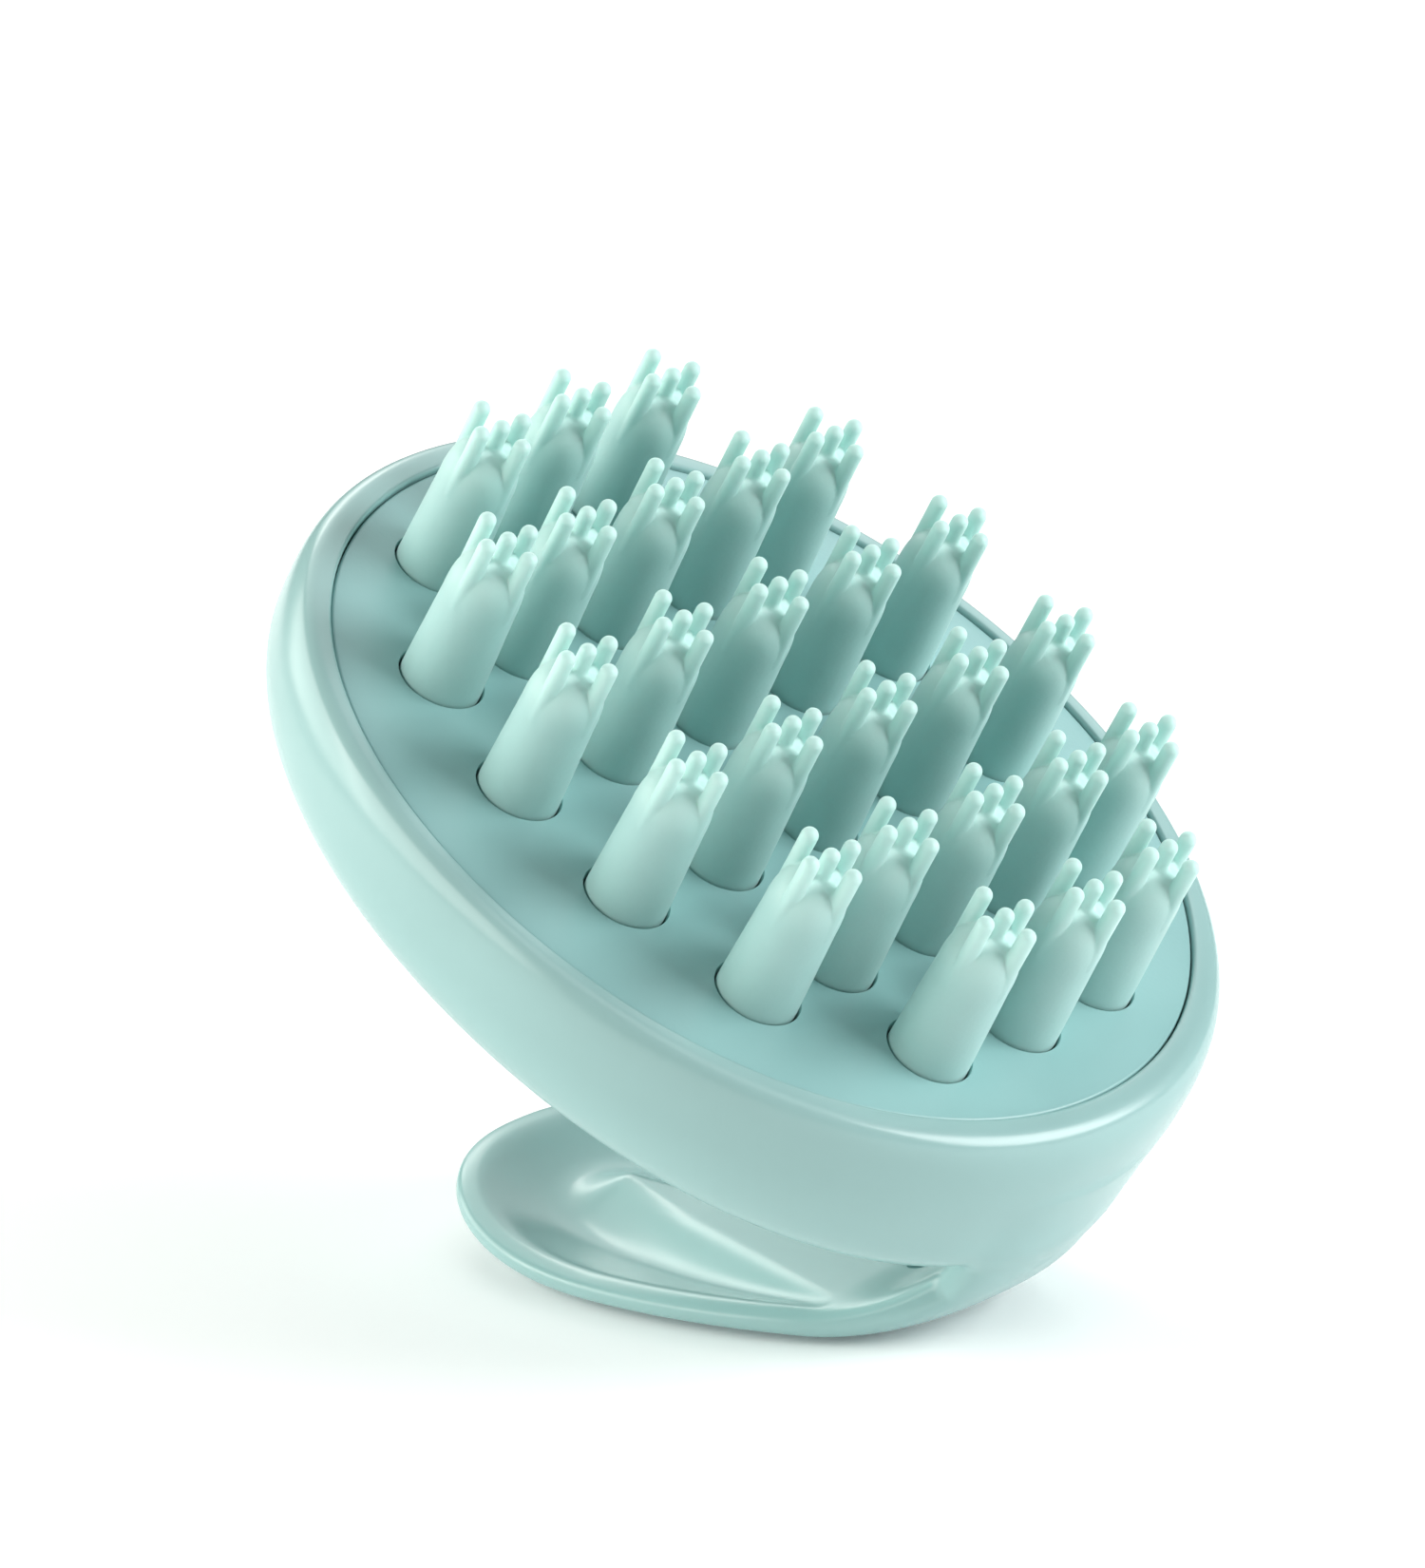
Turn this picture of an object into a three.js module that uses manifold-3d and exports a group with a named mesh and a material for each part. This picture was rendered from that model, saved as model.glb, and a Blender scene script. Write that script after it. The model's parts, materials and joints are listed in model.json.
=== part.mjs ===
// Scalp massager brush: an oval head of 26 silicone bristles on a bowl-shaped shell,
// with a spoon-shaped grip that hooks under the bowl and serves as the foot.
// Millimetres, +Z up, standing on the grip. The head is tilted about Y, its -X end up.
import * as THREE from 'three';
import { ParametricGeometry } from 'three/addons/geometries/ParametricGeometry.js';
import { mergeVertices } from 'three/addons/utils/BufferGeometryUtils.js';
import Module from 'manifold-3d';

const wasm = await Module();
wasm.setup();

// Head: x along the long axis, y across, z towards the bristle tips, z = 0 on the face plate.
const HEAD_TILT = THREE.MathUtils.degToRad(31.7);
const HEAD_HEIGHT = 44.7;            // centre of the face above the table
const OVAL_POWER = 2.06;             // the head's ovals are a little fuller than ellipses
const RIM_A = 45.0;                  // half length and half width at the widest level
const RIM_B = 39.4;
const RIM_SHIFT = 0.5;               // the outer oval's centre, towards the grip's root
const RIM_TOP = 0.3;
const RIM_WIDEST_Z = -5.7;
const RIM_ROLL = 1.4;                // the rolled rim leans in this far from the widest level to its top

// Bowl below the widest level: its rings shrink as (1 - s ** squareness) ** (1 / fullness) and
// drift towards the grip's root as s ** power, where s is the share of the depth.
const BOWL_DEPTH = 11.8;
const BOWL_SQUARENESS = 2.3;
const BOWL_FULLNESS = 4.2;
const BOWL_SHIFT = 15.0;
const BOWL_SHIFT_POWER = 2.9;
const BOWL_LEVELS = [0.1, 0.25, 0.4, 0.55, 0.7, 0.82, 0.92, 0.98, 1];
const ROLL_STEPS = 4;
const WALL = 2.4;

// Face plate and the cassette behind it.
const GAP = 0.3;                     // clearance between neighbouring pieces
const PLATE_A = 41.0;
const PLATE_B = 36.55;
const PLATE_SHIFT = 0.4;             // the plate's centre, towards the grip's root
const PLATE_THICK = 2.4;
const LEDGE = 2.6;                   // the shell's ledge under the plate's edge
const LEDGE_THICK = 1.8;
const WEB_A = 35.8;
const WEB_B = 31.2;
const WEB_THICK = 1.5;
const BACKING_THICK = 2.0;
const BOSS_R = 2.3;
const SCREW_R = 1.1;
const SCREW_HEAD_R = 2.2;
const SCREW_HEAD = 1.4;
const SCREW_X = 13.3;                // four screws at (+-x, +-y)
const SCREW_Y = 6.0;
const MIDDLE_SCREW_Y = 18.3;         // and two beside the middle
const TAB_WIDTH = 7.0;
const TAB_THICK = 1.2;
const TAB_ANGLES = [0, 60, 120, 180, 240, 300];

// Bristles: a trunk with a crown of five prongs.
const BRISTLE_R = 3.56;
const BRISTLE_TOP_R = 3.3;
const CROWN_Z = 11.2;                // the trunk's wall starts to slope in between the prongs
const CROWN_TOP_Z = 12.9;
const CROWN_TOP_R = 1.3;
const PRONG_R = 0.75;
const PRONG_RADIUS = 2.6;            // prongs stand on this circle
const PRONG_TIP_Z = 15.4;            // centre of each prong's round tip
const PIVOT_Z = -0.6;                // the bristle bends about this level, inside the plate
const ROOT_R = 2.4;
const ROOT_Z = -2.0;
const HOLE_R = BRISTLE_R + GAP;

// Bristle rows: the distance of each row from the middle, and its bristles' distances across.
const BRISTLE_ROWS = [
  { x: 31.95, outerX: 31.2, across: [0, 11.0] },
  { x: 19.9, outerX: 19.9, across: [0, 11.3, 21.2] },
  { x: 6.75, outerX: 6.75, across: [0, 12.3, 24.3] },
];

// Grip: a spoon that lies along X under the bowl, on the table. X and Z are the table's.
const TIP_X = -30.5;
const WIDEST_X = -8.0;
const GRIP_HALF_WIDTH = 18.4;
const GRIP_TAPER = 0.0095;           // half width lost towards the root, times the distance squared
const TIP_ROUNDNESS = 2.4;
const TIP_RISE_START = -6.0;
const TIP_RISE = 0.0077;             // rise towards the tip, times the distance squared
const GRIP_THICK = 4.0;
const GRIP_SQUARENESS = 0.7;         // of its cross-section; 1 is an ellipse
const GRIP_FLAT = 0.92;              // the section is cut flat here, so that it stands
const ROOT_THICK = 4.6;
const ROOT_BEND_R = 24.0;
const ROOT_NARROWEST = 6.5;          // half width at the neck, behind the bowl's deepest point
const ROOT_TOP = 12.0;               // half width where it meets the rim
const ROOT_CLIMB = 6.0;              // straight part of the wall above the bend

// The hollow of the grip's inner face runs round a flat keel that widens towards the root.
const DISH_DEPTH = 1.9;
const LIP = 2.4;
const KEEL_START_X = -17.0;
const KEEL_END_X = 17.0;
const KEEL_HALF_WIDTH = 10.4;
const HANG_HOLE_X = 16.8;
const HANG_HOLE_R = 1.6;

// How finely the curves are drawn.
const AROUND = 48;
const INNER_AROUND = 40;
const GRIP_AROUND = 28;
const TIP_STEPS = 8;
const FOOT_STEPS = 5;
const BEND_STEPS = 6;
const TWO_PI = 2 * Math.PI;

const plastic = (color, roughness) => new THREE.MeshStandardMaterial({ color, roughness, metalness: 0 });
const glossyShell = plastic(0xa6d8d3, 0.22);
const satinPlate = plastic(0x8fc3c4, 0.35);
const silicone = plastic(0xa3dcd3, 0.6);
const innerPlastic = plastic(0xdfe6e6, 0.5);
const steel = new THREE.MeshStandardMaterial({ color: 0xb8bcc0, roughness: 0.3, metalness: 1 });

// A closed mesh with shared vertices and no collapsed triangles.
function weld(geometry) {
  const bare = geometry.index ? geometry.toNonIndexed() : geometry;
  bare.deleteAttribute('normal');
  bare.deleteAttribute('uv');
  const merged = mergeVertices(bare, 1e-4);
  const kept = [];
  const index = merged.index.array;
  for (let i = 0; i < index.length; i += 3) {
    const [a, b, c] = [index[i], index[i + 1], index[i + 2]];
    if (a !== b && b !== c && c !== a) kept.push(a, b, c);
  }
  merged.setIndex(kept);
  return merged;
}

function toSolid(geometry) {
  const welded = weld(geometry);
  return new wasm.Manifold(new wasm.Mesh({
    numProp: 3,
    vertProperties: new Float32Array(welded.attributes.position.array),
    triVerts: new Uint32Array(welded.index.array),
  }));
}

function toGeometry(solid) {
  const mesh = solid.getMesh();
  const geometry = new THREE.BufferGeometry();
  geometry.setAttribute('position', new THREE.BufferAttribute(new Float32Array(mesh.vertProperties), 3));
  geometry.setIndex(new THREE.BufferAttribute(new Uint32Array(mesh.triVerts), 1));
  geometry.computeVertexNormals();
  return geometry;
}

// A point of the head's oval, as [x, y].
function ovalPoint(a, b, angle) {
  const [c, s] = [Math.cos(angle), Math.sin(angle)];
  const power = 2 / OVAL_POWER;
  return [a * Math.sign(c) * Math.abs(c) ** power, b * Math.sign(s) * Math.abs(s) ** power];
}

// A closed surface through rings of ovals; the first and last ring are single points.
function ringSolid(rings, around = AROUND) {
  const surface = (u, v, target) => {
    const ring = rings[Math.round(v * (rings.length - 1))];
    const angle = -((Math.round(u * around) % around) / around) * TWO_PI;
    const [x, y] = ovalPoint(ring.a, ring.b, angle);
    target.set(ring.x + x, y, ring.z);
  };
  return new ParametricGeometry(surface, around, rings.length - 1);
}

// A straight oval prism between two levels, about the plate's centre.
function ovalPrism(a, b, low, high, around = AROUND) {
  const rings = [
    { a: 0, b: 0, x: PLATE_SHIFT, z: high },
    { a, b, x: PLATE_SHIFT, z: high },
    { a, b, x: PLATE_SHIFT, z: low },
    { a: 0, b: 0, x: PLATE_SHIFT, z: low },
  ];
  return ringSolid(rings, around);
}

// A round peg between two levels.
function roundPeg(r, low, high, x, y, sides) {
  const geometry = new THREE.CylinderGeometry(r, r, high - low, sides);
  geometry.rotateX(Math.PI / 2);
  geometry.translate(x, y, (low + high) / 2);
  return geometry;
}

// A round hole whose flat sides just touch the circle of radius r.
function holePrism(r, low, high, x, y, sides) {
  return roundPeg(r / Math.cos(Math.PI / sides), low, high, x, y, sides);
}

// The bowl's outer form, or its cavity when inset by the wall: rings from the middle of the top,
// over the rolled rim and down to the deepest point.
function bowlRings(inset, top, roll) {
  const rings = [{ a: 0, b: 0, x: RIM_SHIFT, z: top }];
  for (let i = ROLL_STEPS; i >= 0; i--) {
    const angle = (i / ROLL_STEPS) * Math.PI / 2;
    const lean = inset + roll * (1 - Math.cos(angle));
    const z = RIM_WIDEST_Z + (top - RIM_WIDEST_Z) * Math.sin(angle);
    rings.push({ a: RIM_A - lean, b: RIM_B - lean, x: RIM_SHIFT, z });
  }
  for (const s of BOWL_LEVELS) {
    const shrink = (1 - s ** BOWL_SQUARENESS) ** (1 / BOWL_FULLNESS);
    rings.push({
      a: (RIM_A - inset) * shrink,
      b: (RIM_B - inset) * shrink,
      x: RIM_SHIFT + BOWL_SHIFT * s ** BOWL_SHIFT_POWER,
      z: RIM_WIDEST_Z - (BOWL_DEPTH - inset) * s,
    });
  }
  return rings;
}

// Half width of the grip at x.
function gripHalfWidth(x) {
  if (x >= WIDEST_X) return GRIP_HALF_WIDTH - GRIP_TAPER * (x - WIDEST_X) ** 2;
  const share = Math.min(1, (WIDEST_X - x) / (WIDEST_X - TIP_X));
  return GRIP_HALF_WIDTH * (1 - share ** TIP_ROUNDNESS) ** (1 / TIP_ROUNDNESS);
}

// The underside's line in the mirror plane: raised tip, flat foot, bend and wall up to the rim.
function gripStations() {
  const stations = [];
  for (let i = 0; i < TIP_STEPS; i++) {
    const x = WIDEST_X - (WIDEST_X - TIP_X) * Math.cos((i / TIP_STEPS) * Math.PI / 2);
    const beyond = Math.max(0, TIP_RISE_START - x);
    stations.push({ x, z: TIP_RISE * beyond ** 2, slope: -Math.atan(2 * TIP_RISE * beyond) });
  }
  const bendX = rootBendX();
  for (let i = 0; i < FOOT_STEPS; i++) {
    stations.push({ x: WIDEST_X + (bendX - WIDEST_X) * i / FOOT_STEPS, z: 0, slope: 0 });
  }
  const wallSlope = Math.PI / 2 - HEAD_TILT;
  for (let i = 0; i <= BEND_STEPS; i++) {
    const slope = wallSlope * i / BEND_STEPS;
    const x = bendX + ROOT_BEND_R * Math.sin(slope);
    const z = ROOT_BEND_R * (1 - Math.cos(slope));
    stations.push({ x, z, slope, bend: i / BEND_STEPS });
  }
  const { x, z } = stations[stations.length - 1];
  stations.push({
    x: x + ROOT_CLIMB * Math.cos(wallSlope),
    z: z + ROOT_CLIMB * Math.sin(wallSlope),
    slope: wallSlope,
    bend: 1,
  });
  return stations;
}

// Where the foot starts to bend, so that the bend ends along the rim's wall.
function rootBendX() {
  const wallX = RIM_A + RIM_SHIFT - GAP;
  const rise = Math.sin(HEAD_TILT) * (ROOT_BEND_R - HEAD_HEIGHT);
  return (wallX - ROOT_BEND_R + rise) / Math.cos(HEAD_TILT);
}

const clamp01 = (t) => Math.min(1, Math.max(0, t));

// How deep the inner face is hollowed at (x, y), between the lip and the keel.
function dishDepth(x, y, halfWidth) {
  const share = clamp01((x - KEEL_START_X) / (KEEL_END_X - KEEL_START_X));
  const beside = Math.max(0, Math.abs(y) - KEEL_HALF_WIDTH * share);
  const fromKeel = Math.hypot(Math.max(0, KEEL_START_X - x), beside);
  const fromLip = Math.min(halfWidth - Math.abs(y), x - TIP_X) - LIP;
  return DISH_DEPTH * clamp01(Math.min(fromKeel, fromLip) / LIP);
}

// The grip as one closed surface: a flat-bottomed rounded section carried along the stations.
// Towards the rim the section curls round the bowl's wall.
function gripGeometry() {
  const stations = gripStations();
  const rounded = (t) => Math.sign(t) * Math.abs(t) ** GRIP_SQUARENESS;
  const surface = (u, v, target) => {
    const { x, z, slope, bend = 0 } = stations[Math.round(v * (stations.length - 1))];
    const angle = ((Math.round(u * GRIP_AROUND) % GRIP_AROUND) / GRIP_AROUND) * TWO_PI;
    const widest = Math.max(gripHalfWidth(x), ROOT_NARROWEST) + (ROOT_TOP - ROOT_NARROWEST) * bend ** 3;
    const halfWidth = x > TIP_X ? widest : 0;
    const thick = GRIP_THICK + (ROOT_THICK - GRIP_THICK) * bend;
    const y = v < 1 ? halfWidth * rounded(Math.cos(angle)) : 0;
    let height = thick / 2;
    if (v < 1 && halfWidth > 0) {
      height *= 1 + Math.max(rounded(Math.sin(angle)), -GRIP_FLAT) / GRIP_FLAT;
    }
    if (Math.sin(angle) > 0) height -= dishDepth(x, y, halfWidth);
    height += bend * RIM_A * (1 - Math.sqrt(1 - (y / RIM_B) ** 2));
    target.set(x - height * Math.sin(slope), y, z + height * Math.cos(slope));
  };
  return new ParametricGeometry(surface, GRIP_AROUND, stations.length - 1);
}

// From the head's frame to the table's.
function headMatrix() {
  const matrix = new THREE.Matrix4().makeRotationY(HEAD_TILT);
  return matrix.setPosition(0, 0, HEAD_HEIGHT);
}

// Bowl and grip in one, less the cavity, the plate's seat and the hanging hole.
function shellGeometry() {
  const toHead = headMatrix().invert();
  let shell = toSolid(ringSolid(bowlRings(0, RIM_TOP, RIM_ROLL)));
  shell = shell.add(toSolid(gripGeometry().applyMatrix4(toHead)));
  const cavityTop = -PLATE_THICK - GAP - LEDGE_THICK;
  const cavity = ringSolid(bowlRings(WALL, cavityTop, 0), INNER_AROUND);
  const seat = ovalPrism(PLATE_A + GAP, PLATE_B + GAP, -PLATE_THICK - GAP, 2);
  const mouth = ovalPrism(PLATE_A - LEDGE, PLATE_B - LEDGE, cavityTop - 1, 1);
  const hole = new THREE.CylinderGeometry(HANG_HOLE_R, HANG_HOLE_R, 4 * GRIP_THICK, 12);
  hole.rotateX(Math.PI / 2);
  hole.translate(HANG_HOLE_X, 0, GRIP_THICK / 2);
  hole.applyMatrix4(toHead);
  for (const cut of [cavity, seat, mouth, hole]) shell = shell.subtract(toSolid(cut));
  return toGeometry(shell);
}

// Every bristle's place on the face, row by row.
function bristlePlaces() {
  const places = [];
  for (const side of [-1, 1]) {
    const rows = side < 0 ? BRISTLE_ROWS : [...BRISTLE_ROWS].reverse();
    for (const row of rows) {
      const widths = [...row.across.slice(1).reverse().map((y) => -y), ...row.across];
      for (const y of widths) {
        places.push([side * (y === 0 ? row.x : row.outerX), y]);
      }
    }
  }
  return places;
}

function screwPlaces() {
  const places = [[0, MIDDLE_SCREW_Y], [0, -MIDDLE_SCREW_Y]];
  for (const x of [SCREW_X, -SCREW_X]) {
    for (const y of [SCREW_Y, -SCREW_Y]) places.push([x, y]);
  }
  return places;
}

function facePlateGeometry() {
  let plate = toSolid(ovalPrism(PLATE_A, PLATE_B, -PLATE_THICK, 0));
  const bossLow = -PLATE_THICK - GAP - WEB_THICK;
  for (const [x, y] of screwPlaces()) {
    plate = plate.add(toSolid(roundPeg(BOSS_R, bossLow, -PLATE_THICK + 0.5, x, y, 12)));
    plate = plate.subtract(toSolid(holePrism(SCREW_R + GAP, bossLow - 1, -1, x, y, 8)));
  }
  for (const angle of TAB_ANGLES) {
    plate = plate.add(toSolid(snapTab(THREE.MathUtils.degToRad(angle))));
  }
  for (const [x, y] of bristlePlaces()) {
    plate = plate.subtract(toSolid(holePrism(HOLE_R, -PLATE_THICK - 1, 1, x, y, 14)));
  }
  return toGeometry(plate);
}

// A springy tab that reaches down past the shell's ledge and hooks under it.
function snapTab(angle) {
  const reach = PLATE_THICK + GAP + LEDGE_THICK + GAP;
  const profile = new THREE.Shape();
  profile.moveTo(0, 0.5 - PLATE_THICK);
  profile.lineTo(0, -reach - TAB_THICK);
  profile.lineTo(TAB_THICK, -reach - TAB_THICK);
  profile.lineTo(2 * TAB_THICK, -reach);
  profile.lineTo(TAB_THICK, -reach);
  profile.lineTo(TAB_THICK, 0.5 - PLATE_THICK);
  const tab = new THREE.ExtrudeGeometry(profile, { depth: TAB_WIDTH, bevelEnabled: false });
  tab.rotateX(Math.PI / 2);
  tab.translate(0, TAB_WIDTH / 2, 0);
  const a = PLATE_A - LEDGE - 2 * GAP - TAB_THICK;
  const b = PLATE_B - LEDGE - 2 * GAP - TAB_THICK;
  const x = a * Math.cos(angle);
  const y = b * Math.sin(angle);
  tab.rotateZ(Math.atan2(y / (b * b), x / (a * a)));
  tab.translate(PLATE_SHIFT + x, y, 0);
  return tab;
}

function bristlePadGeometry() {
  const high = -PLATE_THICK - GAP;
  const low = high - WEB_THICK;
  let pad = toSolid(ovalPrism(WEB_A, WEB_B, low, high, INNER_AROUND));
  for (const [x, y] of screwPlaces()) {
    pad = pad.subtract(toSolid(holePrism(BOSS_R + GAP, low - 1, high + 1, x, y, 12)));
  }
  return toGeometry(pad);
}

function backingPlateGeometry() {
  const high = -PLATE_THICK - 2 * GAP - WEB_THICK;
  const low = high - BACKING_THICK;
  let plate = toSolid(ovalPrism(WEB_A, WEB_B, low, high, INNER_AROUND));
  for (const [x, y] of screwPlaces()) {
    plate = plate.subtract(toSolid(holePrism(SCREW_R + GAP, low - 1, high + 1, x, y, 8)));
  }
  return toGeometry(plate);
}

// A pan-head screw, upright, with its head downwards against the backing plate.
function screwGeometry() {
  const headTop = -PLATE_THICK - 3 * GAP - WEB_THICK - BACKING_THICK;
  const profile = [
    [0, headTop - SCREW_HEAD],
    [SCREW_HEAD_R * 0.7, headTop - SCREW_HEAD],
    [SCREW_HEAD_R, headTop - SCREW_HEAD / 2],
    [SCREW_HEAD_R, headTop],
    [SCREW_R, headTop],
    [SCREW_R, -PLATE_THICK],
    [0, -PLATE_THICK + SCREW_R / 2],
  ].map(([r, z]) => new THREE.Vector2(r, z));
  const screw = new THREE.LatheGeometry(profile, 8);
  screw.rotateX(Math.PI / 2);
  return weld(screw);
}

// One prong: a rod with a rounded tip.
function prongGeometry(x, y, low) {
  const profile = [
    [0, low],
    [PRONG_R, low],
    [PRONG_R, PRONG_TIP_Z],
    [PRONG_R * 0.7, PRONG_TIP_Z + PRONG_R * 0.7],
    [0, PRONG_TIP_Z + PRONG_R],
  ].map(([r, z]) => new THREE.Vector2(r, z));
  const prong = new THREE.LatheGeometry(profile, 6);
  prong.rotateX(Math.PI / 2);
  prong.translate(x, y, 0);
  return prong;
}

// A bristle about its own bending level: z = 0 is PIVOT_Z on the face.
function bristleGeometry() {
  const profile = [
    [0, ROOT_Z],
    [ROOT_R, ROOT_Z],
    [BRISTLE_R, ROOT_Z + BRISTLE_R - ROOT_R],
    [BRISTLE_TOP_R, CROWN_Z],
    [CROWN_TOP_R, CROWN_TOP_Z],
    [0, CROWN_TOP_Z],
  ].map(([r, z]) => new THREE.Vector2(r, z));
  const trunk = new THREE.LatheGeometry(profile, 12);
  trunk.rotateX(Math.PI / 2);
  let bristle = toSolid(trunk);
  const inset = CROWN_TOP_Z - 1.5;
  for (const [x, y] of [[1, 0], [0, 1], [-1, 0], [0, -1]]) {
    const prong = prongGeometry(x * PRONG_RADIUS, y * PRONG_RADIUS, CROWN_Z - 1);
    bristle = bristle.add(toSolid(prong));
  }
  bristle = bristle.add(toSolid(prongGeometry(0, 0, inset)));
  const geometry = toGeometry(bristle);
  geometry.translate(0, 0, -PIVOT_Z);
  return geometry;
}

function named(name, geometry, material) {
  const mesh = new THREE.Mesh(geometry, material);
  mesh.name = name;
  return mesh;
}

const head = new THREE.Group();
head.add(named('shell_with_handle', shellGeometry(), glossyShell));
head.add(named('face_plate', facePlateGeometry(), satinPlate));
head.add(named('bristle_pad', bristlePadGeometry(), silicone));
head.add(named('backing_plate', backingPlateGeometry(), innerPlastic));

screwPlaces().forEach(([x, y], i) => {
  const screw = named(`screw_${i + 1}`, screwGeometry(), steel);
  screw.position.set(x, y, 0);
  head.add(screw);
});

const bristle = bristleGeometry();
bristlePlaces().forEach(([x, y], i) => {
  const number = String(i + 1).padStart(2, '0');
  const mesh = named(`bristle_${number}`, bristle.clone(), silicone);
  mesh.position.set(x, y, PIVOT_Z);
  head.add(mesh);
});

head.rotation.y = HEAD_TILT;
head.position.z = HEAD_HEIGHT;

// The origin is under the middle of the object's box.
const group = new THREE.Group();
group.add(head);
group.updateMatrixWorld(true);
const box = new THREE.Box3().setFromObject(group, true);
group.position.set(-(box.min.x + box.max.x) / 2, -(box.min.y + box.max.y) / 2, -box.min.z);

export default group;
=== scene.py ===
"""Looks of the scalp massager brush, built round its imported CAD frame.

Shapes are made in millimetres in the head's frame (x along the oval face, y across it, z out of it,
origin at the middle of the face) or in the table's frame (Z up, origin on the table under the middle
of the face). They are scaled to metres and placed in the row frame at the end.
"""

import json
import math

import bmesh
import bpy
import numpy as np
from mathutils import Matrix, Vector
from mathutils.bvhtree import BVHTree


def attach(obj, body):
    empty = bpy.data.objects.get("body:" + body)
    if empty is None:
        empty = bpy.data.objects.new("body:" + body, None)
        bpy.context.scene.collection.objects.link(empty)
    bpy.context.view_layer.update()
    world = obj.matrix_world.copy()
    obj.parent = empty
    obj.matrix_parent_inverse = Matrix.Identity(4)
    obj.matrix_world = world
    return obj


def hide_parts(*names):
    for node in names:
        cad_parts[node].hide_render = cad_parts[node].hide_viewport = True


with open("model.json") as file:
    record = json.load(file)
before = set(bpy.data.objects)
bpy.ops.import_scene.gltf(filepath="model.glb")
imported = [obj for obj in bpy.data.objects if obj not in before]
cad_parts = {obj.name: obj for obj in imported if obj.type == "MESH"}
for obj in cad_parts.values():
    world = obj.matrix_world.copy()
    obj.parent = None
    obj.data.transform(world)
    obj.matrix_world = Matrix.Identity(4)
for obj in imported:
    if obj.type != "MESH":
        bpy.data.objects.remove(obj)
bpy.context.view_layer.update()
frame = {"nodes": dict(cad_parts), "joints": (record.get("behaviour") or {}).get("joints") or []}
MM = 0.001

# Head. A and B are half axes along and across; a shift is a ring's offset along the face.
PIVOT_Z = -0.6              # the bristles' hinges
OVAL_POWER = 2.06           # 2 is an ellipse
RIM_A, RIM_B, RIM_SHIFT = 45.0, 39.4, 0.5
RIM_TOP = 0.35
RIM_WIDEST_Z = -5.7
ROLL_SQUARENESS = 3.2
ROLL_SHARE = 0.84           # of the rim's width is taken by the outer roll, the rest is its crest
SEAT_FILLET = 0.35
BOWL_DEPTH, BOWL_SQUARENESS, BOWL_FULLNESS = 11.45, 2.3, 4.2
BOWL_SHIFT, BOWL_SHIFT_POWER = 15.0, 2.9
BOWL_STEEPENS = 0.86        # rings are spaced by their size inside this size, and by their depth outside it
WALL = 2.4

# Face plate.
PLATE_A, PLATE_B, PLATE_SHIFT = 41.05, 36.6, 0.4
PLATE_THICK = 2.4
PLATE_EDGE = 0.3
SEAT_GAP = 0.12
LEDGE, LEDGE_THICK = 2.6, 1.8
HOLE_GAP = 0.12             # at the pivots' level; the hole flares above it, for the bending
HOLE_FLARE, HOLE_EDGE = 0.11, 0.04

# Grip, in the table's frame.
TIP_X, WIDEST_X = -30.5, -7.6
GRIP_HALF_WIDTH, TIP_ROUNDNESS = 18.7, 2.4
GRIP_TAPER = 0.0103         # half width lost towards the root, times the distance squared
TIP_RISE_START = -6.0
TIP_RISE = 0.0081           # rise towards the tip, times the distance squared
GRIP_THICK, ROOT_THICK = 3.5, 4.6
EDGE_SQUARENESS = 3.2
ROOT_BEND_R = 20.4
ROOT_NARROWEST, ROOT_TOP = 7.2, 9.2     # half widths at the neck and at the rim
ROOT_CLIMB = 6.0            # straight part of the root above its bend
ROOT_SINK = 0.3             # how far the root lies inside the rim's widest line
DISH_DEPTH, DISH_BLEND = 2.9, 0.3
LIP, LIP_SLOPE = 1.5, 13.5
KEEL_START_X, KEEL_END_X, KEEL_HALF_WIDTH, KEEL_SLOPE = -17.0, 17.0, 10.4, 9.5
CREST_R = 0.9
NECK_FILLET, NECK_EDGE = 1.4, 0.7       # the blend's size, and the longest edge of its mesh
NECK_ZONE = 1.3 * NECK_FILLET           # the mesh is refined this near to both surfaces
NECK_WELD = 0.12
NECK_SPLITS, NECK_RELAXES, NECK_PULLS = 4, 14, 4
HANG_HOLE_X, HANG_HOLE_R, HANG_HOLE_EDGE = 17.1, 1.4, 0.3

# Bristles.
BRISTLE_R, BRISTLE_TOP_R = 3.6, 3.3
ROOT_R, ROOT_START_Z, ROOT_END_Z, FOOT_Z = 2.4, -0.6, -1.9, -2.05
DOME_START_Z, DOME_TOP_Z, DOME_SQUARENESS = 8.8, 13.3, 3.0
PRONG_R, PRONG_RADIUS = 0.75, 2.6       # a prong's own radius, and that of the circle they stand on
PRONG_FOOT_Z, PRONG_TIP_Z, PRONG_FILLET = 9.0, 15.4, 0.12
MIDDLE_PRONG_FOOT_Z, MIDDLE_PRONG_FILLET = 11.0, 0.4
WEB_Z, WEB_R, WEB_FILLET = 13.0, 0.4, 0.5
BRISTLE_VOXEL, BRISTLE_KEPT_FACES = 0.17, 0.25
# Painted light: the bristles' colour turns lighter from the first height to the second, standing in for
# light shining through the thin silicone near the tips, and the trunk below keeps a darker tone.
BRISTLE_PAINTED_LIGHT_FROM_Z, BRISTLE_PAINTED_LIGHT_FULL_Z = 8.0, 15.5


# ---------------------------------------------------------------- frames

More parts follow.
